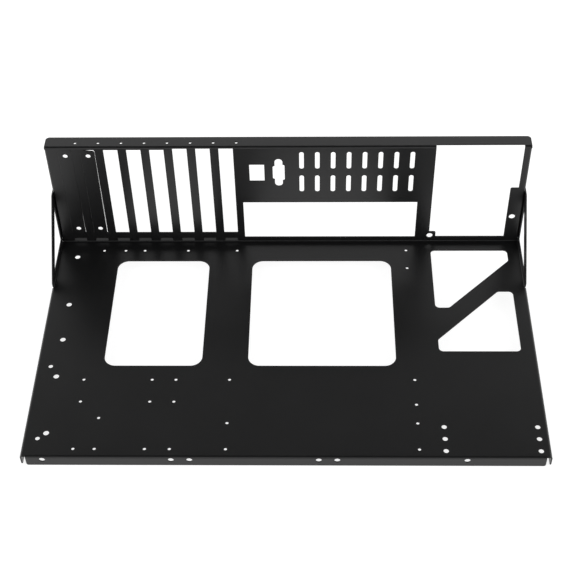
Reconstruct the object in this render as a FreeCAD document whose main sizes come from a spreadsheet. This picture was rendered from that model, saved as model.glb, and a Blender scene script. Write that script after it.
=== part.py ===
# Motherboard tray: one steel sheet, cut flat and folded into a shelf with a back wall.
#
# The shelf carries the circuit board on standoffs. A skirt is folded down along its front and
# sides, the back wall is folded up at its rear, and the wall ends in flanges that are folded
# rearwards. Two ears, folded up from the sides of the shelf, lap the side flanges of the wall
# and are spot-welded to them.
#
# Frame: millimetres, +Z up, +X to the right of someone who faces the back wall, +Y to the rear.
# The origin is on the floor, under the middle of the outer box.

import FreeCAD, Part
import math
import os
import re

import Sketcher
from FreeCAD import Vector

SIZES = (
    # The sheet
    ("sheet_gauge", 1.0, "thickness of the sheet"),
    ("bend_inner", 1.0, "inner radius of every fold"),
    # The skirt below the shelf
    ("skirt_height", 11.0, "top of the shelf above the floor"),
    ("skirt_corner", 1.8, "rounding of the free corners of the skirt"),
    ("front_skirt_inset", 4.0, "end of the front skirt inside the side of the shelf"),
    ("side_skirt_setback", 0.7, "front end of a side skirt behind the front face"),
    ("side_skirt_proud", 0.4, "side skirt outside the outer face of its ear"),
    ("skirt_ear_gap", 1.6, "relief cut between a side skirt and its ear"),
    # The order of things along the wall, from its left side to its right side
    ("left_margin", 17.46, "left side of the wall to the middle of the first slot"),
    ("slot_pitch", 20.32, "spacing of the expansion slots"),
    ("blank_slots", 2, "slots still closed by a knock-out blank"),
    ("short_slots", 3, "open slots with the lower head"),
    ("tall_slots", 3, "open slots with the higher head"),
    ("slots_to_ports", 12.85, "middle of the last slot to the port opening"),
    ("port_width", 158.75, "port opening"),
    ("ports_to_supply", 13.02, "port opening to the power supply opening"),
    ("supply_width", 77.03, "power supply opening"),
    ("post_width", 6.25, "post on the right of the power supply opening"),
    ("ear_gap", 0.2, "side of the wall to the inner face of an ear"),
    # The order of things up the wall, from the top of the shelf
    ("port_sill", 5.23, "shelf to the port opening"),
    ("port_height", 44.45, "port opening"),
    ("ports_to_vents", 12.72, "port opening to the lower row of vents"),
    ("vent_length", 20.0, "one vent"),
    ("vent_row_gap", 7.25, "between the two rows of vents"),
    ("vents_to_top", 5.85, "upper row of vents to the top of the wall"),
    # The order of things across the shelf, from the face of the wall forwards
    ("rear_row", 12.27, "wall to the rear row of standoffs"),
    ("row_flex", 22.86, "rear row to the second hole of the port column"),
    ("row_two", 154.94, "rear row to the second row"),
    ("row_upper", 178.6, "rear row to the row of the narrow boards"),
    ("row_port", 181.43, "rear row to the extra hole of the port column"),
    ("row_lower", 195.83, "rear row to the odd hole on the left"),
    ("row_short", 200.93, "rear row to the row of the short boards"),
    ("row_three", 227.33, "rear row to the third row"),
    ("front_margin", 8.4, "third row to the front face"),
    # The columns of the standoffs, from the port column to the left
    ("port_column", 8.47, "port column inside the right end of the port opening"),
    ("column_mid", 157.48, "port column to the middle column"),
    ("column_micro", 203.2, "port column to the left column of small boards"),
    ("column_inner", 223.52, "port column to the column left of that"),
    ("column_wide", 243.84, "port column to the rear hole of wide boards"),
    ("column_server", 261.78, "port column to the rear hole of server boards"),
    ("column_odd", 264.55, "port column to the two odd holes"),
    ("column_slot", 281.94, "port column to the left column of full boards"),
    ("standoff_hole", 2.8, "hole for a standoff"),
    # Flanges of the wall
    ("flange_depth", 14.0, "face of the wall to the rear edge of the top flange"),
    ("flange_corner", 3.5, "rounding of the rear corners of the top flange"),
    ("side_flange_depth", 12.0, "face of the wall to the rear edge of a side flange"),
    ("flange_relief", 0.4, "corner relief between the top and side flanges"),
    ("wall_foot", 3.0, "lower end of the side flanges above the shelf"),
    # Ears
    ("ear_length", 59.4, "front edge of an ear before the wall"),
    ("ear_foot", 4.6, "height of the front edge of an ear above the shelf"),
    ("ear_land", 2.7, "front end of the level top edge before the wall"),
    ("ear_strap", 8.7, "width of the sloping strap of an ear"),
    ("ear_window_sill", 4.5, "shelf to the window of an ear"),
    ("ear_window_setback", 2.5, "window of an ear to the face of the wall"),
    ("ear_heel", 0.2, "lower edge of the ear behind the wall, above the shelf"),
    ("ear_round", 1.5, "rounding of the corners of an ear"),
    ("weld_size", 5.0, "spot weld"),
    ("weld_setback", 7.0, "face of the wall to the spot welds"),
    ("weld_low", 20.0, "shelf to the lower spot weld"),
    ("weld_rise", 26.0, "lower spot weld to the upper one"),
    # Expansion slots
    ("slot_width", 12.8, "slot opening"),
    ("slot_sill", 11.3, "shelf to the slot openings"),
    ("short_head", 2.8, "top of the wall to the lower heads"),
    ("tall_head", 1.6, "top of the wall to the higher heads"),
    ("blank_slit", 0.2, "sheared cut beside a blank and above it"),
    ("blank_round", 2.0, "rounding of the upper right corner of that cut"),
    ("blank_tie", 3.0, "uncut ties of a blank at its upper left corner"),
    ("loose_low", 0.66, "cut on the right of the last blank, which has been bent a little, at its foot"),
    ("loose_high", 0.4, "the same cut at its upper end"),
    ("loose_start", 0.7, "cut above the last blank, at its left end"),
    ("loose_drop", 1.9, "the same cut at the free corner"),
    ("blank_hole", 4.5, "prying hole of a blank"),
    ("blank_hole_low", 5.4, "lower end of a blank to its lower hole"),
    ("blank_hole_high", 7.3, "upper end of a blank to its upper hole"),
    ("tongue_width", 11.6, "pocket for the tongue of a card bracket"),
    ("tongue_rise", 4.4, "upper end of that pocket above the shelf"),
    ("tongue_push", 2.0, "how far the upper end of that pocket is pressed to the rear"),
    ("bracket_hole", 2.6, "screw hole for a card bracket"),
    ("bracket_shift", 9.25, "middle of a slot to its screw hole"),
    ("bracket_setback", 6.4, "face of the wall to the screw holes"),
    # Cut-outs above the ports
    ("rocker_width", 13.4, "cut-out for a rocker switch"),
    ("rocker_height", 19.5, "cut-out for a rocker switch"),
    ("rocker_inset", 7.1, "left end of the port opening to the rocker switch"),
    ("rocker_drop", 20.4, "top of the wall to the rocker switch"),
    ("plug_inset", 33.25, "left end of the port opening to the middle of the plug cut-out"),
    ("plug_drop", 29.9, "top of the wall to the middle of the plug cut-out"),
    ("plug_width", 10.7, "plug cut-out across"),
    ("plug_long_side", 19.2, "longer side of the plug cut-out"),
    ("plug_short_side", 15.2, "shorter side of the plug cut-out"),
    ("plug_round", 1.5, "rounding of the plug cut-out"),
    ("plug_screw_spacing", 25.0, "screws of the plug"),
    ("plug_screw_hole", 7.1, "clearance round a screw of the plug"),
    ("vent_inset", 53.71, "left end of the port opening to the first vent"),
    ("vent_pitch", 13.98, "spacing of the vents"),
    ("vent_count", 8, "vents in a row"),
    ("vent_width", 4.2, "one vent"),
    # Power supply opening
    ("supply_sill", 5.6, "shelf to the power supply opening"),
    ("supply_flange_cut", 1.0, "how far the opening runs into the flat of the top flange"),
    ("supply_ear_width", 6.03, "lower left lug in the opening"),
    ("supply_ear_height", 12.0, "shelf to the top of that lug"),
    ("supply_tab_width", 7.3, "lower right tab in the opening"),
    ("supply_tab_height", 66.5, "shelf to the top of that tab"),
    ("supply_round", 1.5, "rounding of the lug and the tab"),
    ("supply_hole", 5.75, "hole for a screw of the power supply"),
    ("supply_hole_inset", 0.68, "left end of the opening to the lower hole"),
    ("supply_hole_rise", 7.1, "shelf to the lower hole"),
    ("supply_hole_across", 74.0, "lower hole to the upper hole, sideways"),
    ("supply_hole_up", 24.0, "lower hole to the upper hole, upwards"),
    # Windows of the shelf
    ("window_rear", 25.6, "wall to the windows"),
    ("window_depth", 126.45, "windows, front to rear"),
    ("window_round", 10.0, "rounding of the windows"),
    ("window_inset", 55.85, "left side of the wall to the left window"),
    ("left_window_width", 84.85, "left window"),
    ("window_rib", 39.65, "between the two windows"),
    ("middle_window_width", 127.6, "middle window"),
    # The two windows with a strut between them, on the right
    ("truss_inset", 12.35, "right side of the shelf to the strut windows"),
    ("truss_width", 70.95, "strut windows, side to side"),
    ("truss_rear", 12.25, "wall to the rear strut window"),
    ("truss_rear_depth", 72.4, "rear strut window, front to rear"),
    ("truss_front_start", 64.5, "wall to the front strut window"),
    ("truss_front_depth", 71.15, "front strut window, front to rear"),
    ("truss_blunt", 12.4, "front edge of the rear strut window"),
    ("strut_width", 17.6, "sloping strut"),
    ("truss_round", 4.0, "rounding of the strut windows"),
    # Holes of the shelf that take drives and feet
    ("drive_hole", 5.0, "hole for a large drive"),
    ("drive_inset", 17.9, "left side of the shelf to the large drive holes"),
    ("drive_middle", 125.8, "front face to the middle of the large drive holes"),
    ("drive_inner", 41.61, "middle to the inner holes"),
    ("drive_outer", 101.6, "middle to the outer holes"),
    ("small_drive_hole", 4.0, "hole for a small drive"),
    ("small_drive_inset", 11.57, "left side of the shelf to the small drive holes"),
    ("small_drive_front", 18.7, "front face to the front hole"),
    ("small_drive_spacing", 76.6, "holes of a small drive"),
    ("corner_hole", 4.5, "hole of the front right corner"),
    ("corner_inset", 7.93, "right side of the shelf to the outer column"),
    ("corner_front", 7.1, "front face to the first of these holes"),
    ("corner_pitch", 12.05, "spacing of these holes, front to rear"),
    ("corner_count", 3, "holes in one column"),
    # Fan holes of the front skirt
    ("fan_hole", 5.0, "hole for a fan"),
    ("fan_hole_drop", 4.0, "top of the shelf to the fan holes"),
    ("fan_inset", 17.4, "left side of the shelf to the first fan hole"),
    ("fan_spacing", 105.0, "holes of one fan"),
    ("fan_pitch", 120.0, "one fan to the next"),
    ("fan_count", 3, "fans side by side"),
)

# Lengths that follow from the sizes above
FOLD = "(bend_inner + sheet_gauge)"
SLOT_COUNT = "(blank_slots + short_slots + tall_slots)"
LAST_SLOT = f"(left_margin + slot_pitch * ({SLOT_COUNT} - 1))"
PORT_LEFT = f"({LAST_SLOT} + slots_to_ports)"
PORT_RIGHT = f"({PORT_LEFT} + port_width)"
SUPPLY_LEFT = f"({PORT_RIGHT} + ports_to_supply)"
SUPPLY_RIGHT = f"({SUPPLY_LEFT} + supply_width)"
WALL_WIDTH = f"({SUPPLY_RIGHT} + post_width)"
SIDE_STEP = "(ear_gap + sheet_gauge)"
SHELF_WIDTH = f"({WALL_WIDTH} + 2 * {SIDE_STEP})"
SKIRT_WIDTH = f"({SHELF_WIDTH} - 2 * front_skirt_inset)"
SHELF_DEPTH = "(rear_row + row_three + front_margin)"
TRAY_DEPTH = f"({SHELF_DEPTH} + flange_depth)"
WALL_RISE = ("(port_sill + port_height + ports_to_vents + 2 * vent_length + vent_row_gap"
             " + vents_to_top)")
EAR_TOP = "(ear_foot + ear_length - ear_land)"
STRAP_RISE = f"(ear_strap * {math.sqrt(2.0)!r})"

# Places in the tray's own frame
FRONT_Y = f"(-{TRAY_DEPTH} / 2)"
WALL_Y = f"({FRONT_Y} + {SHELF_DEPTH})"
TOP_Z = f"(skirt_height + {WALL_RISE})"

NODE = "tray_sheet"
TURNS = {"up": (0, 1), "down": (0, -1), "left": (-1, 0), "right": (1, 0)}

document = FreeCAD.newDocument("motherboard_tray")
sheet = document.addObject("Spreadsheet::Sheet", "Sizes")
for row, (alias, size, note) in enumerate(SIZES, start=1):
    sheet.set(f"A{row}", note)
    sheet.set(f"B{row}", str(size))
    sheet.setAlias(f"B{row}", alias)
document.recompute()

ALIASES = {alias for alias, size, note in SIZES}
tray = document.addObject("PartDesign::Body", "Tray")
tray.Label = NODE
tray.Placement = FreeCAD.Placement()
PLANES = {plane.Role: plane for plane in tray.Origin.OriginFeatures}


def linked(text):
    """The expression with each size's name pointing at its cell of the sheet."""
    def link(match):
        word = match.group(0)
        return f"{sheet.Name}.{word}" if word in ALIASES else word
    return re.sub(r"[a-z_]+", link, text)


def value(text):
    """The number that an expression of the sizes comes to."""
    return float(sheet.evalExpression(text))


def sketch_on(name, plane, x="0", y="0", lift="0"):
    """A sketch on one of the tray's planes, with its own origin moved by three expressions."""
    sketch = tray.newObject("Sketcher::SketchObject", name)
    sketch.AttachmentSupport = (PLANES[plane], [""])
    sketch.MapMode = "FlatFace"
    for axis, text in (("x", x), ("y", y), ("z", lift)):
        sketch.setExpression(f"AttachmentOffset.Base.{axis}", linked(text))
    return sketch


def hold(sketch, text, kind, *geometry):
    """A dimension of the sketch, bound to an expression of the sizes."""
    index = sketch.addConstraint(Sketcher.Constraint(kind, *geometry, value(text)))
    sketch.setExpression(f"Constraints[{index}]", linked(text))


def pin(sketch, geometry, end, x, y):
    """Hold one end or the centre of a piece of geometry at x, y."""
    hold(sketch, x, "DistanceX", -1, 1, geometry, end)
    hold(sketch, y, "DistanceY", -1, 1, geometry, end)


def circle(sketch, x, y, diameter):
    """A hole of the given diameter."""
    centre = Vector(value(x), value(y), 0)
    hole = sketch.addGeometry(Part.Circle(centre, Vector(0, 0, 1), value(diameter) / 2))
    pin(sketch, hole, 3, x, y)
    hold(sketch, diameter, "Diameter", hole)


def round_slot(sketch, x, low, length, width):
    """An upright slot with round ends, its lower end at the height low."""
    half = value(width) / 2
    bottom = Vector(value(x), value(low) + half, 0)
    top = Vector(value(x), value(low) + value(length) - half, 0)
    side = Vector(half, 0, 0)
    up = Vector(0, 0, 1)
    left = sketch.addGeometry(Part.LineSegment(bottom - side, top - side))
    right = sketch.addGeometry(Part.LineSegment(bottom + side, top + side))
    cap = sketch.addGeometry(Part.ArcOfCircle(Part.Circle(top, up, half), 0, math.pi))
    foot = sketch.addGeometry(Part.ArcOfCircle(Part.Circle(bottom, up, half), math.pi, 2 * math.pi))
    for first, first_end, second, second_end in (
            (right, 2, cap, 1), (cap, 2, left, 2), (left, 1, foot, 1), (foot, 2, right, 1)):
        sketch.addConstraint(Sketcher.Constraint("Tangent", first, first_end, second, second_end))
    sketch.addConstraint(Sketcher.Constraint("Equal", cap, foot))
    pin(sketch, foot, 3, x, f"{low} + {width} / 2")
    pin(sketch, cap, 3, x, f"{low} + {length} - {width} / 2")
    hold(sketch, f"{width} / 2", "Radius", cap)


def corner_arc(before, corner, after, radius):
    """The arc that rounds a corner, and the ends of it that the path enters and leaves by."""
    entering = (corner - before).normalize()
    leaving = (after - corner).normalize()
    turn = entering.cross(leaving).z
    reach = radius * math.tan(math.acos(max(-1.0, min(1.0, entering.dot(leaving)))) / 2)
    inward = Vector(-entering.y, entering.x, 0) * math.copysign(1.0, turn)
    start = corner - entering * reach
    finish = corner + leaving * reach
    centre = start + inward * radius
    first, last = (start, finish) if turn > 0 else (finish, start)
    angles = [math.atan2(point.y - centre.y, point.x - centre.x) for point in (first, last)]
    if angles[1] < angles[0]:
        angles[1] += 2 * math.pi
    arc = Part.ArcOfCircle(Part.Circle(centre, Vector(0, 0, 1), radius), *angles)
    ends = (1, 2) if turn > 0 else (2, 1)
    return arc, start, finish, ends


def outline(sketch, corners):
    """A closed outline through corners (x, y, radius), where a radius of None is a sharp corner."""
    points = [Vector(value(x), value(y), 0) for x, y, radius in corners]
    count = len(corners)
    entries, exits, arcs = [], [], []
    for index, (x, y, radius) in enumerate(corners):
        if radius is None:
            entries.append(points[index])
            exits.append(points[index])
            arcs.append(None)
            continue
        arc, start, finish, ends = corner_arc(
            points[index - 1], points[index], points[(index + 1) % count], value(radius))
        entries.append(start)
        exits.append(finish)
        arcs.append((sketch.addGeometry(arc), ends))
    lines = [sketch.addGeometry(Part.LineSegment(exits[index - 1], entries[index]))
             for index in range(count)]
    for index, (x, y, radius) in enumerate(corners):
        arriving = lines[index]
        departing = lines[(index + 1) % count]
        if radius is None:
            sketch.addConstraint(Sketcher.Constraint("Coincident", arriving, 2, departing, 1))
            pin(sketch, arriving, 2, x, y)
            continue
        arc, ends = arcs[index]
        sketch.addConstraint(Sketcher.Constraint("Tangent", arriving, 2, arc, ends[0]))
        sketch.addConstraint(Sketcher.Constraint("Tangent", arc, ends[1], departing, 1))
        hold(sketch, radius, "Radius", arc)
        mark = sketch.addGeometry(Part.Point(points[index]), True)
        sketch.addConstraint(Sketcher.Constraint("PointOnObject", mark, 1, arriving))
        sketch.addConstraint(Sketcher.Constraint("PointOnObject", mark, 1, departing))
        pin(sketch, mark, 1, x, y)


def rectangle(sketch, left, low, right, high, radius=None):
    """A rectangle between two corners, with all its corners rounded alike."""
    outline(sketch, [(left, low, radius), (right, low, radius),
                     (right, high, radius), (left, high, radius)])


def folded_strip(sketch, start, runs, finish):
    """The section of the folded sheet, which lies on the right-hand side of a path.

    runs: the heading of each straight run and where its line lies, across the heading.
    start, finish: where the first run starts and the last one ends, along the heading.
    """
    headings = [heading for heading, place in runs]
    places = [start] + [place for heading, place in runs] + [finish]
    face, back = [], []
    for index in range(len(runs) + 1):
        before = headings[index - 1] if index > 0 else None
        after = headings[index] if index < len(runs) else None
        pair = (places[index], places[index + 1])
        level = TURNS[after][0] != 0 if after else TURNS[before][0] == 0
        x, y = pair if level else pair[::-1]
        sides = [TURNS[heading] for heading in (before, after) if heading]
        turn = 0
        if len(sides) == 2:
            turn = sides[0][0] * sides[1][1] - sides[0][1] * sides[1][0]
        right = sum(side[1] for side in sides)
        up = -sum(side[0] for side in sides)
        face.append((x, y, {0: None, 1: "bend_inner", -1: FOLD}[turn]))
        back.append((f"{x} + ({right}) * sheet_gauge", f"{y} + ({up}) * sheet_gauge",
                     {0: None, 1: FOLD, -1: "bend_inner"}[turn]))
    outline(sketch, face + back[::-1])


def settle(feature):
    """Rebuild, and stop at once if the newest feature failed."""
    document.recompute()
    if {"Invalid", "Error"} & set(feature.State) or feature.Shape.isNull():
        raise RuntimeError(f"{feature.Name} failed: {feature.State}")
    tray.Tip = feature
    return feature


def pad(sketch, length, both_sides=False):
    """Add the sketch's outline as a plate, along the sketch's normal."""
    feature = tray.newObject("PartDesign::Pad", f"{sketch.Name}Pad")
    feature.Profile = sketch
    feature.SideType = "Symmetric" if both_sides else "One side"
    feature.setExpression("Length", linked(length))
    return settle(feature)


def cut(sketch, depth, both_sides=False):
    """Cut the sketch's outline away, against the sketch's normal."""
    before = tray.Tip.Shape.Volume
    feature = tray.newObject("PartDesign::Pocket", f"{sketch.Name}Cut")
    feature.Profile = sketch
    feature.Refine = False
    feature.SideType = "Symmetric" if both_sides else "One side"
    feature.setExpression("Length", linked(depth))
    settle(feature)
    if feature.Shape.Volume >= before:
        raise RuntimeError(f"{feature.Name} cuts nothing")
    return feature


def mirrored(feature):
    """The same feature on the other side of the tray."""
    mirror = tray.newObject("PartDesign::Mirrored", f"{feature.Name}Mirror")
    mirror.Originals = [feature]
    mirror.MirrorPlane = (PLANES["YZ_Plane"], [""])
    return settle(mirror)


def repeated(feature, pitch, count):
    """The same feature again along X, count times in all."""
    pattern = tray.newObject("PartDesign::LinearPattern", f"{feature.Name}Row")
    pattern.Originals = [feature]
    pattern.Direction = (PLANES["X_Axis"], [""])
    pattern.Mode = "Spacing"
    pattern.Refine = False
    pattern.setExpression("Offset", linked(pitch))
    pattern.setExpression("Occurrences", linked(count))
    return settle(pattern)


def rounded(name, test, radius):
    """Round the edges of the solid whose middle passes the test."""
    solid = tray.Tip
    names = [f"Edge{index}" for index, edge in enumerate(solid.Shape.Edges, start=1)
             if test(edge.CenterOfMass)]
    feature = tray.newObject("PartDesign::Fillet", name)
    feature.Base = (solid, names)
    feature.setExpression("Radius", linked(radius))
    return settle(feature)


def near(first, second):
    """Whether two lengths are the same, in millimetres."""
    return abs(first - second) < 1e-4


def wall_sketch(name):
    """A sketch on the face of the wall, measured from the left side of the wall and the shelf."""
    return sketch_on(name, "XZ_Plane", x=f"-{WALL_WIDTH} / 2", y="skirt_height", lift=f"-{WALL_Y}")


def shelf_sketch(name):
    """A sketch on the shelf, measured from the left side of the wall and the front face."""
    return sketch_on(name, "XY_Plane", x=f"-{WALL_WIDTH} / 2", y=FRONT_Y, lift="skirt_height")


# Front skirt, shelf, back wall and the start of the top flange, as one folded section
section = sketch_on("Shelf", "YZ_Plane")
folded_strip(section, "0", [("up", FRONT_Y), ("right", "skirt_height"), ("up", WALL_Y),
                            ("right", TOP_Z)], f"{WALL_Y} + 2 * {FOLD}")
pad(section, SKIRT_WIDTH, both_sides=True)
half_skirt = value(SKIRT_WIDTH) / 2
rounded("FrontSkirtCorners", lambda middle: near(abs(middle.x), half_skirt) and near(middle.z, 0),
        "skirt_corner")

# Side skirts, folded down along the shelf from its front corners to the ears
skirt = sketch_on("SideSkirt", "XZ_Plane", lift=f"-({WALL_Y} - ear_length - skirt_ear_gap)")
SKIRT_FACE = f"({SHELF_WIDTH} / 2 + side_skirt_proud)"
folded_strip(skirt, f"{SKIRT_WIDTH} / 2", [("right", "skirt_height"), ("down", SKIRT_FACE)], "0")
mirrored(pad(skirt, f"{SHELF_DEPTH} - side_skirt_setback - ear_length - skirt_ear_gap"))
skirt_middle = value(f"{SKIRT_FACE} - sheet_gauge / 2")
rounded("SideSkirtCorners", lambda middle: near(abs(middle.x), skirt_middle) and near(middle.z, 0),
        "skirt_corner")

# The fold at the foot of the wall, out to the ears
foot = sketch_on("WallFoot", "YZ_Plane")
folded_strip(foot, f"{WALL_Y} - {FOLD}", [("right", "skirt_height"), ("up", WALL_Y)],
             "skirt_height + wall_foot")
pad(foot, f"{WALL_WIDTH} + 2 * ear_gap", both_sides=True)

# Folds that turn the sides of the shelf up into the ears
ear_folds = sketch_on("EarFolds", "XZ_Plane", lift=f"-({WALL_Y} - bend_inner)")
folded_strip(ear_folds, "skirt_height + ear_window_sill",
             [("down", f"{SHELF_WIDTH} / 2"), ("left", "skirt_height - sheet_gauge"),
              ("up", f"-{SHELF_WIDTH} / 2")], "skirt_height + ear_window_sill")
pad(ear_folds, "ear_length - bend_inner")

# Ears: a strap at 45 degrees over a three-cornered window, and a leg behind the wall
ear = sketch_on("Ear", "YZ_Plane", x=WALL_Y, y="skirt_height",
                lift=f"{SHELF_WIDTH} / 2 - sheet_gauge")
outline(ear, [("-ear_length", "bend_inner", None),
              ("sheet_gauge", "bend_inner", None),
              ("sheet_gauge", "ear_heel", None),
              ("side_flange_depth", "ear_heel", "ear_round"),
              ("side_flange_depth", EAR_TOP, "ear_round"),
              ("-ear_land", EAR_TOP, "ear_round"),
              ("-ear_length", "ear_foot", "ear_round")])
WINDOW_FRONT = f"(-ear_length - ear_foot + ear_window_sill + {STRAP_RISE})"
outline(ear, [(WINDOW_FRONT, "ear_window_sill", "ear_round"),
              ("-ear_window_setback", "ear_window_sill", "ear_round"),
              ("-ear_window_setback", f"ear_window_sill - ear_window_setback - {WINDOW_FRONT}",
               "ear_round")])
mirrored(pad(ear, "sheet_gauge"))

# The wall at its full width, with its side flanges
wall = sketch_on("Wall", "XY_Plane", lift="skirt_height + wall_foot")
folded_strip(wall, f"{WALL_Y} + side_flange_depth",
             [("down", f"{WALL_WIDTH} / 2"), ("left", WALL_Y), ("up", f"-{WALL_WIDTH} / 2")],
             f"{WALL_Y} + side_flange_depth")
pad(wall, f"{WALL_RISE} - {FOLD} - flange_relief - wall_foot")

# The fold at the top of the wall, at its full width
head = sketch_on("WallHead", "YZ_Plane")
folded_strip(head, f"{TOP_Z} - {FOLD} - flange_relief / 2", [("up", WALL_Y), ("right", TOP_Z)],
             f"{WALL_Y} + 2 * {FOLD}")
pad(head, WALL_WIDTH, both_sides=True)

# The top flange at its full width
flange = sketch_on("Flange", "XY_Plane", y=WALL_Y, lift=f"{TOP_Z} - sheet_gauge")
outline(flange, [(f"-{WALL_WIDTH} / 2", FOLD, None), (f"{WALL_WIDTH} / 2", FOLD, None),
                 (f"{WALL_WIDTH} / 2", "flange_depth", "flange_corner"),
                 (f"-{WALL_WIDTH} / 2", "flange_depth", "flange_corner")])
pad(flange, "sheet_gauge")

# Spot welds between the side flanges and the ears
welds = sketch_on("Welds", "YZ_Plane", x=WALL_Y, y="skirt_height", lift=f"{WALL_WIDTH} / 2")
circle(welds, "weld_setback", "weld_low", "weld_size")
circle(welds, "weld_setback", "weld_low + weld_rise", "weld_size")
mirrored(pad(welds, "ear_gap"))

# Windows of the shelf
windows = shelf_sketch("Windows")
WINDOW_HIGH = f"({SHELF_DEPTH} - window_rear)"
LEFT_WINDOW_END = "(window_inset + left_window_width)"
rectangle(windows, "window_inset", f"{WINDOW_HIGH} - window_depth", LEFT_WINDOW_END, WINDOW_HIGH,
          "window_round")
rectangle(windows, f"{LEFT_WINDOW_END} + window_rib", f"{WINDOW_HIGH} - window_depth",
          f"{LEFT_WINDOW_END} + window_rib + middle_window_width", WINDOW_HIGH, "window_round")
cut(windows, FOLD)

# Strut windows: two five-cornered openings with a strut at 45 degrees between them
struts = shelf_sketch("StrutWindows")
TRUSS_RIGHT = f"({WALL_WIDTH} + {SIDE_STEP} - truss_inset)"
TRUSS_LEFT = f"({TRUSS_RIGHT} - truss_width)"
REAR_HIGH = f"({SHELF_DEPTH} - truss_rear)"
REAR_LOW = f"({REAR_HIGH} - truss_rear_depth)"
FRONT_HIGH = f"({SHELF_DEPTH} - truss_front_start)"
FRONT_LOW = f"({FRONT_HIGH} - truss_front_depth)"
REAR_SLOPE = f"({TRUSS_LEFT} + truss_blunt - {REAR_LOW})"
FRONT_SLOPE = f"({REAR_SLOPE} + strut_width * {math.sqrt(2.0)!r})"
outline(struts, [(TRUSS_LEFT, REAR_LOW, "truss_round"),
                 (f"{TRUSS_LEFT} + truss_blunt", REAR_LOW, "truss_round"),
                 (TRUSS_RIGHT, f"{TRUSS_RIGHT} - {REAR_SLOPE}", "truss_round"),
                 (TRUSS_RIGHT, REAR_HIGH, "truss_round"),
                 (TRUSS_LEFT, REAR_HIGH, "truss_round")])
outline(struts, [(TRUSS_LEFT, FRONT_LOW, "truss_round"),
                 (TRUSS_RIGHT, FRONT_LOW, "truss_round"),
                 (TRUSS_RIGHT, FRONT_HIGH, "truss_round"),
                 (f"{FRONT_HIGH} + {FRONT_SLOPE}", FRONT_HIGH, "truss_round"),
                 (TRUSS_LEFT, f"{TRUSS_LEFT} - {FRONT_SLOPE}", "truss_round")])
cut(struts, FOLD)

# Standoff holes, by column and row
standoffs = shelf_sketch("Standoffs")
COLUMN_ROWS = (
    ("0", ("0", "row_flex", "row_two", "row_port", "row_short", "row_three")),
    ("column_mid", ("0", "row_two", "row_short", "row_three")),
    ("column_micro", ("0", "row_two", "row_upper", "row_three")),
    ("column_inner", ("row_two", "row_upper", "row_three")),
    ("column_wide", ("0",)),
    ("column_server", ("0",)),
    ("column_odd", ("row_lower", "row_three")),
    ("column_slot", ("0", "row_two", "row_upper", "row_three")),
)
for column, rows in COLUMN_ROWS:
    for row in rows:
        circle(standoffs, f"{PORT_RIGHT} - port_column - {column}",
               f"{SHELF_DEPTH} - rear_row - {row}", "standoff_hole")
cut(standoffs, FOLD)

# Holes that take drives, on the left and in the front right corner
drives = shelf_sketch("DriveHoles")
for step in ("-drive_outer", "-drive_inner", "0", "drive_inner", "drive_outer"):
    circle(drives, f"drive_inset - {SIDE_STEP}", f"drive_middle + ({step})", "drive_hole")
for step in ("0", "small_drive_spacing"):
    circle(drives, f"small_drive_inset - {SIDE_STEP}", f"small_drive_front + {step}",
           "small_drive_hole")
for row in range(int(value("corner_count"))):
    for step in ("0", "small_drive_spacing"):
        circle(drives, f"{WALL_WIDTH} + {SIDE_STEP} - corner_inset - {step}",
               f"corner_front + {row} * corner_pitch", "corner_hole")
cut(drives, FOLD)

# Fan holes of the front skirt, in pairs
fans = sketch_on("FanHoles", "XZ_Plane", x=f"-{SHELF_WIDTH} / 2", lift=f"-{FRONT_Y}")
for step in ("0", "fan_spacing"):
    circle(fans, f"fan_inset + {step}", "skirt_height - fan_hole_drop", "fan_hole")
repeated(cut(fans, FOLD), "fan_pitch", "fan_count")

# Port opening and the cut-outs above it
ports = wall_sketch("Ports")
rectangle(ports, PORT_LEFT, "port_sill", PORT_RIGHT, "port_sill + port_height")
ROCKER_LEFT = f"({PORT_LEFT} + rocker_inset)"
ROCKER_HIGH = f"({WALL_RISE} - rocker_drop)"
rectangle(ports, ROCKER_LEFT, f"{ROCKER_HIGH} - rocker_height", f"{ROCKER_LEFT} + rocker_width",
          ROCKER_HIGH)
PLUG_X = f"({PORT_LEFT} + plug_inset)"
PLUG_Z = f"({WALL_RISE} - plug_drop)"
outline(ports, [(f"{PLUG_X} - plug_width / 2", f"{PLUG_Z} - plug_short_side / 2", "plug_round"),
                (f"{PLUG_X} + plug_width / 2", f"{PLUG_Z} - plug_long_side / 2", "plug_round"),
                (f"{PLUG_X} + plug_width / 2", f"{PLUG_Z} + plug_long_side / 2", "plug_round"),
                (f"{PLUG_X} - plug_width / 2", f"{PLUG_Z} + plug_short_side / 2", "plug_round")])
cut(ports, FOLD)
plug_screws = wall_sketch("PlugScrews")
PLUG_SPAN = "(plug_screw_spacing + plug_screw_hole)"
round_slot(plug_screws, PLUG_X, f"({PLUG_Z} - {PLUG_SPAN} / 2)", PLUG_SPAN, "plug_screw_hole")
cut(plug_screws, FOLD)

# Two rows of vents
vents = wall_sketch("Vents")
VENT_LOW = "(port_sill + port_height + ports_to_vents)"
for step in ("0", "(vent_length + vent_row_gap)"):
    round_slot(vents, f"{PORT_LEFT} + vent_inset", f"({VENT_LOW} + {step})", "vent_length",
               "vent_width")
repeated(cut(vents, FOLD), "vent_pitch", "vent_count")

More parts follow.
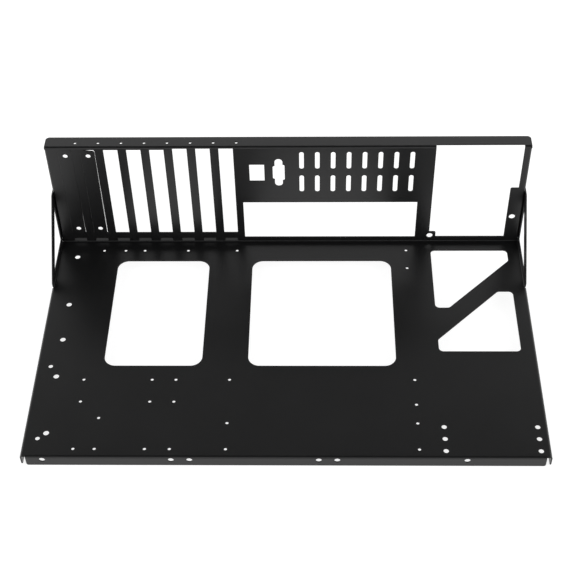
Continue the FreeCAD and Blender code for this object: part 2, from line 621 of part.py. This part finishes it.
# Power supply opening, cut up through the fold of the top flange
supply = wall_sketch("Supply")
LUG_RIGHT = f"({SUPPLY_LEFT} + supply_ear_width)"
TAB_LEFT = f"({SUPPLY_RIGHT} - supply_tab_width)"
OPEN_TOP = f"({WALL_RISE} + {FOLD})"
outline(supply, [(LUG_RIGHT, "supply_sill", None), (TAB_LEFT, "supply_sill", None),
                 (TAB_LEFT, "supply_tab_height", "supply_round"),
                 (SUPPLY_RIGHT, "supply_tab_height", None),
                 (SUPPLY_RIGHT, OPEN_TOP, None), (SUPPLY_LEFT, OPEN_TOP, None),
                 (SUPPLY_LEFT, "supply_ear_height", None),
                 (LUG_RIGHT, "supply_ear_height", "supply_round")])
cut(supply, f"{FOLD} + supply_flange_cut")
supply_holes = wall_sketch("SupplyHoles")
for across, rise in (("0", "0"), ("supply_hole_across", "supply_hole_up")):
    circle(supply_holes, f"{SUPPLY_LEFT} + supply_hole_inset + {across}",
           f"supply_hole_rise + {rise}", "supply_hole")
cut(supply_holes, FOLD)

# Knock-out blanks: slits round the plate that closes a slot, and two prying holes
SLOT_LEFT = "(left_margin - slot_width / 2)"
SLOT_RIGHT = "(left_margin + slot_width / 2)"
SHORT_TOP = f"({WALL_RISE} - short_head)"


def free_side(sketch, step, low, high, start, drop):
    """The cut up the right side of a blank and along its top.

    low, high: its width at the foot and the upper end of the side.
    start, drop: its height at the left end of the top and at the free corner.
    """
    tie = f"{SLOT_LEFT} + {step} + blank_tie"
    right = f"{SLOT_RIGHT} + {step}"
    outline(sketch, [(f"{right} - {low}", "slot_sill", None), (right, "slot_sill", None),
                     (right, SHORT_TOP, "blank_round"), (tie, SHORT_TOP, None),
                     (tie, f"{SHORT_TOP} - {start}", None),
                     (f"{right} - {high}", f"{SHORT_TOP} - {drop}", f"(blank_round - {high})")])


blanks = wall_sketch("Blanks")
rectangle(blanks, SLOT_LEFT, "slot_sill", f"{SLOT_LEFT} + blank_slit", f"{SHORT_TOP} - blank_tie")
free_side(blanks, "0", "blank_slit", "blank_slit", "blank_slit", "blank_slit")
circle(blanks, "left_margin", "slot_sill + blank_hole_low", "blank_hole")
circle(blanks, "left_margin", f"{SHORT_TOP} - blank_hole_high", "blank_hole")
repeated(cut(blanks, FOLD), "slot_pitch", "blank_slots")
loose_blank = wall_sketch("LooseBlank")
free_side(loose_blank, "(blank_slots - 1) * slot_pitch", "loose_low", "loose_high", "loose_start",
          "loose_drop")
cut(loose_blank, FOLD)

# Open slots, in two runs whose heads differ a little
short_run = wall_sketch("ShortSlots")
rectangle(short_run, f"{SLOT_LEFT} + blank_slots * slot_pitch", "slot_sill",
          f"{SLOT_RIGHT} + blank_slots * slot_pitch", SHORT_TOP)
repeated(cut(short_run, FOLD), "slot_pitch", "short_slots")
tall_run = wall_sketch("TallSlots")
rectangle(tall_run, f"{SLOT_LEFT} + (blank_slots + short_slots) * slot_pitch", "slot_sill",
          f"{SLOT_RIGHT} + (blank_slots + short_slots) * slot_pitch", f"{WALL_RISE} - tall_head")
repeated(cut(tall_run, FOLD), "slot_pitch", "tall_slots")

# Pockets for the tongues of card brackets, lanced at the top and pressed out of the wall to the rear
def first_slot_sketch(name):
    """An upright sketch on the middle line of the first slot, measured from the wall and the shelf."""
    return sketch_on(name, "YZ_Plane", x=WALL_Y, y="skirt_height",
                     lift=f"left_margin - {WALL_WIDTH} / 2")


pockets = first_slot_sketch("TonguePockets")
outline(pockets, [("sheet_gauge", "bend_inner", None),
                  ("sheet_gauge + tongue_push", "tongue_rise", None),
                  ("sheet_gauge", "tongue_rise", None)])
repeated(pad(pockets, "tongue_width + 2 * sheet_gauge", both_sides=True), "slot_pitch", SLOT_COUNT)
tongues = first_slot_sketch("Tongues")
outline(tongues, [("-bend_inner", "bend_inner", None), ("0", "bend_inner", None),
                  ("tongue_push", "tongue_rise", None), ("-bend_inner", "tongue_rise", None)])
repeated(cut(tongues, "tongue_width", both_sides=True), "slot_pitch", SLOT_COUNT)

# Screw holes for the card brackets, in the top flange
brackets = sketch_on("BracketHoles", "XY_Plane", x=f"-{WALL_WIDTH} / 2", y=WALL_Y, lift=TOP_Z)
circle(brackets, "left_margin + bracket_shift", "bracket_setback", "bracket_hole")
repeated(cut(brackets, FOLD), "slot_pitch", SLOT_COUNT)

# Check and write
document.recompute()
for item in document.Objects:
    if {"Invalid", "Error"} & set(item.State):
        raise RuntimeError(f"{item.Name} is {item.State}")
solid = tray.Shape
if solid.isNull() or not solid.isValid() or len(solid.Solids) != 1:
    raise RuntimeError("the tray is not one valid solid")
os.makedirs("parts", exist_ok=True)
solid.exportStep(f"parts/{tray.Label}.step")
box = solid.BoundBox
print(f"{tray.Label}: {box.XLength:.2f} x {box.YLength:.2f} x {box.ZLength:.2f} mm,"
      f" {solid.Volume / 1000:.2f} cubic cm, {len(solid.Faces)} faces")
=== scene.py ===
# %% [markdown]
# # A folded motherboard tray in black powder coat
#
# The tray is one steel sheet, punched flat, folded and powder coated. Its shape arrives ready made as a
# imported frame, so this lesson is about its finish: how a coat of powder softens the cut edges, how its
# skin is grained, and how soft white light shows a black thing on a white floor.

# %% Load the frame
import math

import bmesh
import bpy
import numpy as np
from mathutils import Matrix, Vector
from mathutils.bvhtree import BVHTree
from mathutils.kdtree import KDTree


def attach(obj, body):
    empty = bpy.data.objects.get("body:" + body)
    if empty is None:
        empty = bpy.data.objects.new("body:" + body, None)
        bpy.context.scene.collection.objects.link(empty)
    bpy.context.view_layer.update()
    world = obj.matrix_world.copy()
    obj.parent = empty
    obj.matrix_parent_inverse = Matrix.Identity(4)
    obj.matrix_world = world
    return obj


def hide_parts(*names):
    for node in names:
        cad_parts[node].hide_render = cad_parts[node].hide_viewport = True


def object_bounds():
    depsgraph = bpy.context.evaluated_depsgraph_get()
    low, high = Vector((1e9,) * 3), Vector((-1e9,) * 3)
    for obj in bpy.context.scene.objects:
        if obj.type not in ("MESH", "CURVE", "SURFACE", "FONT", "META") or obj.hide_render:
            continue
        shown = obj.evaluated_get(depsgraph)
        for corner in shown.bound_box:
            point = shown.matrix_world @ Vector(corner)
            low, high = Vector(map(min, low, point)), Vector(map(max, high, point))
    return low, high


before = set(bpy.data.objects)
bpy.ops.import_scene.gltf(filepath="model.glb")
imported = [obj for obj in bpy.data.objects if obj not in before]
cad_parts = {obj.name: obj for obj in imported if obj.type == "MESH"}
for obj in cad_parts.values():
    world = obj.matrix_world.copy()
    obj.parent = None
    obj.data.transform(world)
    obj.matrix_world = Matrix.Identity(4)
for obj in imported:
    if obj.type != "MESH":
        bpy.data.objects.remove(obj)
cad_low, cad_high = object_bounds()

MM = 0.001
sheet_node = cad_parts["tray_sheet"]
print("sheet", [round(size / MM, 1) for size in cad_high - cad_low], "mm,",
      len(sheet_node.data.polygons), "triangles")

# %% [markdown]
# ## The bare sheet
#
# A punched sheet has sharp edges, but powder melts before it sets and leaves a small round on each of
# them. That round is what catches the light along every hole and fold end. A Bevel node in the material
# could fake it, but then the mesh itself would stay sharp, so here the rounds are real faces. The
# frame's mesh is loose triangles, and a bevel needs faces that share their edges: a copy has its corners
# merged and its flat triangles joined. The first knock-out blank has sprung a little at its foot, so the
# sides of that cut also get corners at two heights, where the blank will be moved aside later.

# %% Merge and flatten a copy
MERGE_GAP = 0.002 * MM
FLAT_TURN = math.radians(0.2)
SPRUNG_SIDE = cad_low[0] + 25.26 * MM
CUT_WIDTH = 0.2 * MM
SPRUNG_HEIGHTS = (43 * MM, 50 * MM)
SIDE_REACH = 0.01 * MM


def split_side(shell, side, height):
    """Give the upright edges at one X a corner at a height, by its share of the way from foot to head."""
    for edge in shell.edges[:]:
        foot, head = sorted(edge.verts, key=lambda corner: corner.co.z)
        upright = all(abs(corner.co.x - side) < SIDE_REACH for corner in edge.verts)
        if upright and foot.co.z < height < head.co.z:
            bmesh.utils.edge_split(edge, foot, (height - foot.co.z) / (head.co.z - foot.co.z))


def bare_shell(node):
    """A node's loose triangles: corners merged, flat faces joined and the sprung cut's sides split."""
    shell = bmesh.new()
    shell.from_mesh(node.data)
    bmesh.ops.remove_doubles(shell, verts=shell.verts[:], dist=MERGE_GAP)
    bmesh.ops.dissolve_limit(shell, angle_limit=FLAT_TURN, verts=shell.verts[:], edges=shell.edges[:])
    for side in (SPRUNG_SIDE, SPRUNG_SIDE + CUT_WIDTH):
        for height in SPRUNG_HEIGHTS:
            split_side(shell, side, height)
    return shell


sheet = bare_shell(sheet_node)
print("bare sheet", len(sheet.faces), "faces,", len(sheet.edges), "edges")

# %% [markdown]
# ## Edges that stay sharp
#
# The blanks are sheared on three sides, and their cuts are so narrow that the coat nearly closes them.
# Rounds there would show as light lines that the real tray doesn't have. The cuts could be listed by
# their places, but a rule can find them: the two sides of a cut are long edges that lie very close
# together. So each long edge looks for a neighbour near its middle.

# %% Find the sheared cuts
LONG_EDGE = 4.0 * MM
NARROW_CUT = 0.3 * MM
SHARP_TURN = math.radians(20)


def point_tree(points):
    """The points, sorted for searches by distance."""
    tree = KDTree(len(points))
    for index, point in enumerate(points):
        tree.insert(point, index)
    tree.balance()
    return tree


def sharp_edges(shell):
    """The edges whose two faces turn by more than SHARP_TURN."""
    return [edge for edge in shell.edges if edge.calc_face_angle(0.0) > SHARP_TURN]


def cut_corners(edges):
    """The ends of long edges whose middle lies within NARROW_CUT of another long edge's middle."""
    long_edges = [edge for edge in edges if edge.calc_length() > LONG_EDGE]
    middles = [(edge.verts[0].co + edge.verts[1].co) / 2 for edge in long_edges]
    places = point_tree(middles)
    return {corner for edge, middle in zip(long_edges, middles)
            if len(places.find_range(middle, NARROW_CUT)) > 1 for corner in edge.verts}


bare_edges = sharp_edges(sheet)
print(len(bare_edges), "sharp edges,", len(cut_corners(bare_edges)), "corners of sheared cuts")

# %% [markdown]
# ## Rounds on all other edges
#
# A bevel cuts each sharp edge back and fills the gap with a strip of faces. Where short edges meet at a
# steep corner it can shoot past the sheet and leave a spike. Blender can clamp a bevel, but the clamp
# takes one size for the whole mesh, and the shortest edge would shrink every round to nothing. So a few
# trial bevels come first. Where their corners stray from the sheet, or a face folds back on another, the
# place is noted, and the edges near it stay sharp.

# %% Round the edges
COAT_ROUND = 0.12 * MM
COAT_STEPS = 2
TRUE_ARC = 0.5
LEAVE_ROUND = 0.6 * MM
BAND = 1


def round_edges(shell, noted):
    """Bevel the sharp edges away from sheared cuts and noted places; the new faces get material BAND."""
    sharp = sharp_edges(shell)
    cuts = cut_corners(sharp)
    chosen = [edge for edge in sharp if cuts.isdisjoint(edge.verts)
              and not any(noted.find_range(corner.co, LEAVE_ROUND) for corner in edge.verts)]
    bmesh.ops.bevel(shell, geom=chosen, offset=COAT_ROUND, offset_type="OFFSET", segments=COAT_STEPS,
                    profile=TRUE_ARC, affect="EDGES", clamp_overlap=False, material=BAND)
    return len(chosen)


print("rounds of", COAT_ROUND / MM, "mm in", COAT_STEPS, "steps")

# %% Note where trial bevels go wrong
TRIALS = 3
OVERSHOOT = 0.1 * MM
FOLDED_BACK = math.radians(170)


def stray_points(shell, surface):
    """The corners further than OVERSHOOT from a surface, each with its nearest point on the surface."""
    points = []
    for corner in shell.verts:
        nearest, _, _, distance = surface.find_nearest(corner.co)
        if distance > OVERSHOOT:
            points += [corner.co.copy(), nearest]
    return points


def folded_points(shell):
    """The corners of edges whose two faces turn by more than FOLDED_BACK."""
    return [corner.co.copy() for edge in shell.edges if edge.calc_face_angle(0.0) > FOLDED_BACK
            for corner in edge.verts]


surface = BVHTree.FromBMesh(sheet)
noted_points = []
for attempt in range(TRIALS):
    trial = bare_shell(sheet_node)
    rounded = round_edges(trial, point_tree(noted_points))
    stray, folded = stray_points(trial, surface), folded_points(trial)
    noted_points += stray + folded
    trial.free()
    print("trial", attempt + 1, "rounds", rounded, "edges,", len(stray) // 2, "corners stray,",
          len(folded), "fold back")

# %% Round the sheet
CM = 10 * MM
rounded = round_edges(sheet, point_tree(noted_points))
open_edges = sum(not edge.is_manifold for edge in sheet.edges)
print(rounded, "edges rounded,", open_edges, "open edges,", len(folded_points(sheet)), "corners fold",
      "back,", round(sheet.calc_volume() / CM ** 3, 2), "cubic cm")

# %% [markdown]
# ## The coated tray
#
# The coat has a depth of its own, which is why the sheared cuts nearly close. Solidify could add it, but
# it would make a second wall. Moving each corner out along its normal keeps one closed skin. Two places
# are set first. The foot of the first blank has sprung aside, and a thin streak of light shows
# there. And the relief cuts between the side skirts and the ears are hairlines, so the rear ends of the
# skirts are moved back. The strips of the bevel keep a mark of their own, which the material reads.
# Edges that stayed sharp split the shading, and Weighted Normal keeps the flat faces flat beside the
# rounds.

# %% Set the sprung blank and the relief cuts
BLANK_FOOT, BELOW_FOOT = 22.3 * MM, 22.0 * MM
SPRUNG_ASIDE = (0.0, 0.30 * MM, 0.36 * MM, 0.0)
RELIEF_X = cad_high[0] - 4.6 * MM
SKIRT_END = (cad_high[1] - 76.9 * MM, cad_high[1] - 74.7 * MM)
SKIRT_BACK = 1.3 * MM


def sprung(places):
    """The blank's side of the cut moved to -X by SPRUNG_ASIDE, in straight lines between four heights."""
    aside = np.interp(places[:, 2], (BELOW_FOOT, BLANK_FOOT, *SPRUNG_HEIGHTS), SPRUNG_ASIDE)
    on_side = np.abs(places[:, 0] - SPRUNG_SIDE) < SIDE_REACH
    moved = places.copy()
    moved[:, 0] -= aside * on_side
    return moved


def narrow_reliefs(places):
    """The rear ends of the side skirts, past RELIEF_X and between two Y, moved to +Y by SKIRT_BACK."""
    x, y, _ = places.T
    at_end = (np.abs(x) > RELIEF_X) & (y > SKIRT_END[0]) & (y < SKIRT_END[1])
    moved = places.copy()
    moved[:, 1] += SKIRT_BACK * at_end
    return moved


tray_mesh = bpy.data.meshes.new("coated_tray")
sheet.to_mesh(tray_mesh)
sheet.free()
places = np.empty((len(tray_mesh.vertices), 3))
normals = np.empty_like(places)
tray_mesh.vertices.foreach_get("co", places.ravel())
tray_mesh.vertex_normals.foreach_get("vector", normals.ravel())
places_set = narrow_reliefs(sprung(places))
print((places_set != places).any(axis=1).sum(), "of", len(places), "corners set by hand")

# %% Lay the coat on
COAT_DEPTH = 0.085 * MM
SPLIT_TURN = math.radians(60)
EDGE_MARK = "edge_band"


def coated(places, normals):
    """Each corner moved out along its normal by COAT_DEPTH, and never below the floor."""
    moved = places + COAT_DEPTH * normals
    moved[:, 2] = moved[:, 2].clip(0.0)
    return moved


def mark_band(mesh):
    """Turn the bevel's material number into a face attribute, 1 on its strips and 0 elsewhere."""
    numbers = np.empty(len(mesh.polygons), np.int32)
    mesh.polygons.foreach_get("material_index", numbers)
    on_band = numbers == BAND
    mark = mesh.attributes.new(EDGE_MARK, "FLOAT", "FACE")
    mark.data.foreach_set("value", on_band.astype(np.float32))
    mesh.polygons.foreach_set("material_index", np.zeros_like(numbers))
    return on_band.sum()


tray_mesh.vertices.foreach_set("co", coated(places_set, normals).ravel())
tray_mesh.shade_smooth()
tray_mesh.set_sharp_from_angle(angle=SPLIT_TURN)
tray_mesh.update()
on_rounds = mark_band(tray_mesh)
print("coated tray", len(tray_mesh.polygons), "faces,", on_rounds, "on rounds")

# %% Put the tray in the frame
FLAT_WEIGHT = 100
tray = bpy.data.objects.new("coated_tray", tray_mesh)
bpy.context.scene.collection.objects.link(tray)
keep_flat = tray.modifiers.new("flat faces stay flat", "WEIGHTED_NORMAL")
keep_flat.weight = FLAT_WEIGHT
keep_flat.keep_sharp = True
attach(tray, "root")
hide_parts("tray_sheet")
print(tray.name, "stands for tray_sheet")

# %% [markdown]
# ## Black powder coat
#
# The coat is a satin black with a very fine stipple, as powder that has flowed together leaves it. Two
# node groups carry what changes over it: the stipple itself, and a soft unevenness of sheen. They could
# be painted as images, but noise in object space has no seams at the folds. The shader stays in the
# material, with the values that are the same everywhere set on its own sockets.

# %% Two empty groups
RIPPLE_SCALE, GRAIN_SCALE, GRAIN_SHARE = 700.0, 4200.0, 0.6
SHEEN_MIDDLE, SHEEN_SPREAD = 0.34, 0.08


def node_group(name, inputs, output):
    """An empty shader node group with float inputs, a default for each name, and one float output."""
    group = bpy.data.node_groups.new(name, "ShaderNodeTree")
    for label, default in inputs.items():
        socket = group.interface.new_socket(label, in_out="INPUT", socket_type="NodeSocketFloat")
        socket.default_value = default
    group.interface.new_socket(output, in_out="OUTPUT", socket_type="NodeSocketFloat")
    return group


stipple = node_group("powder_stipple", {"Ripple Scale": RIPPLE_SCALE, "Grain Scale": GRAIN_SCALE,
                                        "Grain Share": GRAIN_SHARE}, "Height")
unevenness = node_group("coat_unevenness", {"Middle": SHEEN_MIDDLE, "Spread": SHEEN_SPREAD}, "Value")
for group in (stipple, unevenness):
    print(group.name, [socket.name for socket in group.interface.items_tree])

# %% Fill the stipple
STIPPLE_DETAIL, STIPPLE_ROUGHNESS = 1.0, 0.5


def feed(tree, socket, value):
    """Link a socket to another node's output, or set its own value."""
    if isinstance(value, bpy.types.NodeSocket):
        tree.links.new(value, socket)
    else:
        socket.default_value = value


def math_node(tree, operation, *values):
    """A Math node whose inputs are numbers or sockets of other nodes."""
    node = tree.nodes.new("ShaderNodeMath")
    node.operation = operation
    for socket, value in zip(node.inputs, values):
        feed(tree, socket, value)
    return node.outputs["Value"]


def noise(tree, scale, detail, roughness):
    """A noise texture in object space; scale is in waves per metre."""
    node = tree.nodes.new("ShaderNodeTexNoise")
    place = tree.nodes.new("ShaderNodeTexCoord").outputs["Object"]
    settings = {"Vector": place, "Scale": scale, "Detail": detail, "Roughness": roughness}
    for label, value in settings.items():
        feed(tree, node.inputs[label], value)
    return node.outputs["Fac"]


def fill_stipple(group):
    """Height: a coarse ripple plus a share of a fine grain."""
    given = group.nodes.new("NodeGroupInput").outputs
    made = group.nodes.new("NodeGroupOutput").inputs
    ripple = noise(group, given["Ripple Scale"], STIPPLE_DETAIL, STIPPLE_ROUGHNESS)
    grain = noise(group, given["Grain Scale"], STIPPLE_DETAIL, STIPPLE_ROUGHNESS)
    shared = math_node(group, "MULTIPLY", grain, given["Grain Share"])
    feed(group, made["Height"], math_node(group, "ADD", ripple, shared))


fill_stipple(stipple)
print(stipple.name, "waves of", [round(1 / scale / MM, 2) for scale in (RIPPLE_SCALE, GRAIN_SCALE)], "mm")

# %% Fill the unevenness
CLOUD_SCALE, CLOUD_DETAIL, CLOUD_ROUGHNESS = 26.0, 3.0, 0.6
CLOUD_MIDDLE = 0.5


def fill_unevenness(group):
    """Value: Middle plus Spread times a slow cloud less its own middle."""
    given = group.nodes.new("NodeGroupInput").outputs
    made = group.nodes.new("NodeGroupOutput").inputs
    clouds = noise(group, CLOUD_SCALE, CLOUD_DETAIL, CLOUD_ROUGHNESS)
    centred = math_node(group, "SUBTRACT", clouds, CLOUD_MIDDLE)
    spread = math_node(group, "MULTIPLY", centred, given["Spread"])
    feed(group, made["Value"], math_node(group, "ADD", spread, given["Middle"]))


fill_unevenness(unevenness)
print(unevenness.name, "clouds of", round(1 / CLOUD_SCALE / MM), "mm")

# %% The coat
BLACK = (0.0075, 0.0075, 0.0078, 1.0)
# A paler black for the rounded edges: a painted highlight along them, not a colour of the coat.
EDGE_PAINTED_HIGHLIGHT_BLACK = (0.0115, 0.0115, 0.0120, 1.0)
EDGE_SHEEN = -0.08
COAT_IOR = 1.42
STIPPLE_STRENGTH, STIPPLE_HEIGHT = 0.12, 0.05 * MM


def placed(tree, group):
    """The output of a node group placed in a material."""
    node = tree.nodes.new("ShaderNodeGroup")
    node.node_tree = group
    return node.outputs[0]


def powder_coat():
    """Satin black powder: stippled, a little uneven in sheen, smoother on the rounded edges and paler
    there, a painted highlight.
    """
    material = bpy.data.materials.new("stippled_black_coat")
    material.use_nodes = True
    tree = material.node_tree
    shader = tree.nodes["Principled BSDF"]
    shader.inputs["IOR"].default_value = COAT_IOR
    bump = tree.nodes.new("ShaderNodeBump")
    bump.inputs["Strength"].default_value = STIPPLE_STRENGTH
    bump.inputs["Distance"].default_value = STIPPLE_HEIGHT
    feed(tree, bump.inputs["Height"], placed(tree, stipple))
    feed(tree, shader.inputs["Normal"], bump.outputs["Normal"])
    edge = tree.nodes.new("ShaderNodeAttribute")
    edge.attribute_name = EDGE_MARK
    smoother = math_node(tree, "MULTIPLY", edge.outputs["Fac"], EDGE_SHEEN)
    feed(tree, shader.inputs["Roughness"], math_node(tree, "ADD", placed(tree, unevenness), smoother))
    # The rounds get the paler black as a painted highlight; their lower roughness is real.
    painted_highlight_tint = tree.nodes.new("ShaderNodeMix")
    painted_highlight_tint.data_type = "RGBA"
    for label, value in (("A", BLACK), ("B", EDGE_PAINTED_HIGHLIGHT_BLACK), ("Factor", edge.outputs["Fac"])):
        feed(tree, painted_highlight_tint.inputs[label], value)
    feed(tree, shader.inputs["Base Color"], painted_highlight_tint.outputs["Result"])
    return material


tray_mesh.materials.append(powder_coat())
print(tray.name, "wears", tray_mesh.materials[0].name)

# %% [markdown]
# ## Floor
#
# The tray lies on a plain white floor that runs out of the picture. A lamp could light it white, but a
# lamp that strong would shine on the black too. So the floor is a pale square that glows by itself, and
# the tray still leaves a faint shadow on it.

# %% Floor
FLOOR_HALF = 6.0
FLOOR_WHITE = (0.35, 0.35, 0.35, 1.0)
GLOW_WHITE = (1.0, 1.0, 1.0, 1.0)
FLOOR_GLOW = 0.88
FLOOR_ROUGHNESS, FLOOR_GLOSS = 0.9, 0.1


def pale_floor():
    """A wide flat square at height 0."""
    corners = FLOOR_HALF * np.array([[-1, -1, 0], [1, -1, 0], [1, 1, 0], [-1, 1, 0]], float)
    mesh = bpy.data.meshes.new("floor")
    mesh.from_pydata(corners.tolist(), [], [(0, 1, 2, 3)])
    floor = bpy.data.objects.new("floor", mesh)
    bpy.context.scene.collection.objects.link(floor)
    material = bpy.data.materials.new("pale_floor")
    material.use_nodes = True
    shader = material.node_tree.nodes["Principled BSDF"]
    shader.inputs["Base Color"].default_value = FLOOR_WHITE
    shader.inputs["Roughness"].default_value = FLOOR_ROUGHNESS
    shader.inputs["Specular IOR Level"].default_value = FLOOR_GLOSS
    shader.inputs["Emission Color"].default_value = GLOW_WHITE
    shader.inputs["Emission Strength"].default_value = FLOOR_GLOW
    mesh.materials.append(material)
    return floor


floor = pale_floor()
print(floor.name, 2 * FLOOR_HALF, "m square")

# %% [markdown]
# ## Room
#
# Black shows only by what it mirrors. Seen from above, the front skirt mirrors the white floor, and the
# top flange mirrors the rear of the room about 40 degrees up, so both look grey. The shelf mirrors what
# is higher still and stays dark. So the room is white all round and turns dark overhead, and at the
# front the dark reaches lower, because that is the side that the folds mirror. Screens round the tray
# could do this too, but a world with a ramp over height does it with one curve, and it works from every
# side.

# %% Room
ROOM_LOW = (1.45, 1.45, 1.45, 1.0)
ROOM_HIGH = (0.05, 0.05, 0.05, 1.0)
WHITE_UP_TO, DARK_FROM = 0.62, 0.74
FRONT_DARK = 0.26


def pale_room():
    """A world coloured by height: a direction's Z, plus FRONT_DARK times how far it points to -Y."""
    world = bpy.data.worlds.new("pale_room")
    bpy.context.scene.world = world
    world.use_nodes = True
    tree = world.node_tree
    parts = tree.nodes.new("ShaderNodeSeparateXYZ")
    feed(tree, parts.inputs["Vector"], tree.nodes.new("ShaderNodeTexCoord").outputs["Generated"])
    forward = math_node(tree, "MAXIMUM", math_node(tree, "MULTIPLY", parts.outputs["Y"], -1.0), 0.0)
    lift = math_node(tree, "MULTIPLY", forward, FRONT_DARK)
    ramp = tree.nodes.new("ShaderNodeValToRGB")
    stops = zip(ramp.color_ramp.elements, (WHITE_UP_TO, DARK_FROM), (ROOM_LOW, ROOM_HIGH))
    for stop, position, colour in stops:
        stop.position = position
        stop.color = colour
    feed(tree, ramp.inputs["Fac"], math_node(tree, "ADD", parts.outputs["Z"], lift))
    feed(tree, tree.nodes["Background"].inputs["Color"], ramp.outputs["Color"])
    return world


room = pale_room()
print(room.name, "white up to", round(math.degrees(math.asin(WHITE_UP_TO))), "degrees, dark from",
      round(math.degrees(math.asin(DARK_FROM))))

# %% [markdown]
# ## Panels
#
# Two soft panels stand far out to the left and right, as in a product studio. One panel overhead would
# be simpler, but the long folds would mirror it as bright lines along the whole tray. Folds that run
# from left to right don't mirror a light at their sides.

# %% Panels
PANEL_ASIDE, PANEL_Y, PANEL_HEIGHT = 2.2, -0.4, 1.8
PANEL_AIM = (0.0, -0.3, 0.0)
PANEL_SIZE = 1.6
PANEL_POWER = 14.0


def soft_panel(name, place, aim):
    """A square area light that looks from its place at a point."""
    light = bpy.data.lights.new(name, "AREA")
    light.size = PANEL_SIZE
    light.energy = PANEL_POWER
    panel = bpy.data.objects.new(name, light)
    bpy.context.scene.collection.objects.link(panel)
    panel.location = place
    panel.rotation_euler = (Vector(aim) - Vector(place)).to_track_quat("-Z", "Y").to_euler()
    return panel


panels = [soft_panel(name, (aside, PANEL_Y, PANEL_HEIGHT), PANEL_AIM)
          for name, aside in (("left_panel", -PANEL_ASIDE), ("right_panel", PANEL_ASIDE))]
print("panels", [panel.name for panel in panels], PANEL_POWER, "W each")

# %% [markdown]
# ## Camera
#
# The camera stands in front of the tray, nearly in its middle, and looks down on it by about 47 degrees.
# Its place, turn and lens were worked out from the board holes, whose spacing is a standard one, so they
# are given as numbers. A Track To constraint would be easier to set, but it can't give the small roll.

# %% Camera
LENS_MM = 79.28
SENSOR_MM = 36.0
CAMERA_PLACE = (0.02553, -0.7309, 0.8512)
PAN, LOOK_DOWN, ROLL = 0.0327, 0.8176, -0.0244


def photo_camera():
    """A camera that pans about the upright, tilts up from straight down and rolls about its own axis."""
    data = bpy.data.cameras.new("photo_camera")
    data.lens = LENS_MM
    data.sensor_width = SENSOR_MM
    camera = bpy.data.objects.new("photo_camera", data)
    bpy.context.scene.collection.objects.link(camera)
    tilt = math.pi / 2 - LOOK_DOWN
    turn = Matrix.Rotation(PAN, 4, "Z") @ Matrix.Rotation(tilt, 4, "X") @ Matrix.Rotation(ROLL, 4, "Z")
    camera.matrix_world = Matrix.Translation(Vector(CAMERA_PLACE)) @ turn
    bpy.context.scene.camera = camera
    return camera


camera = photo_camera()
bpy.context.scene.view_settings.view_transform = "Standard"
print(camera.name, "looks down by", round(math.degrees(LOOK_DOWN), 1), "degrees through", LENS_MM, "mm")
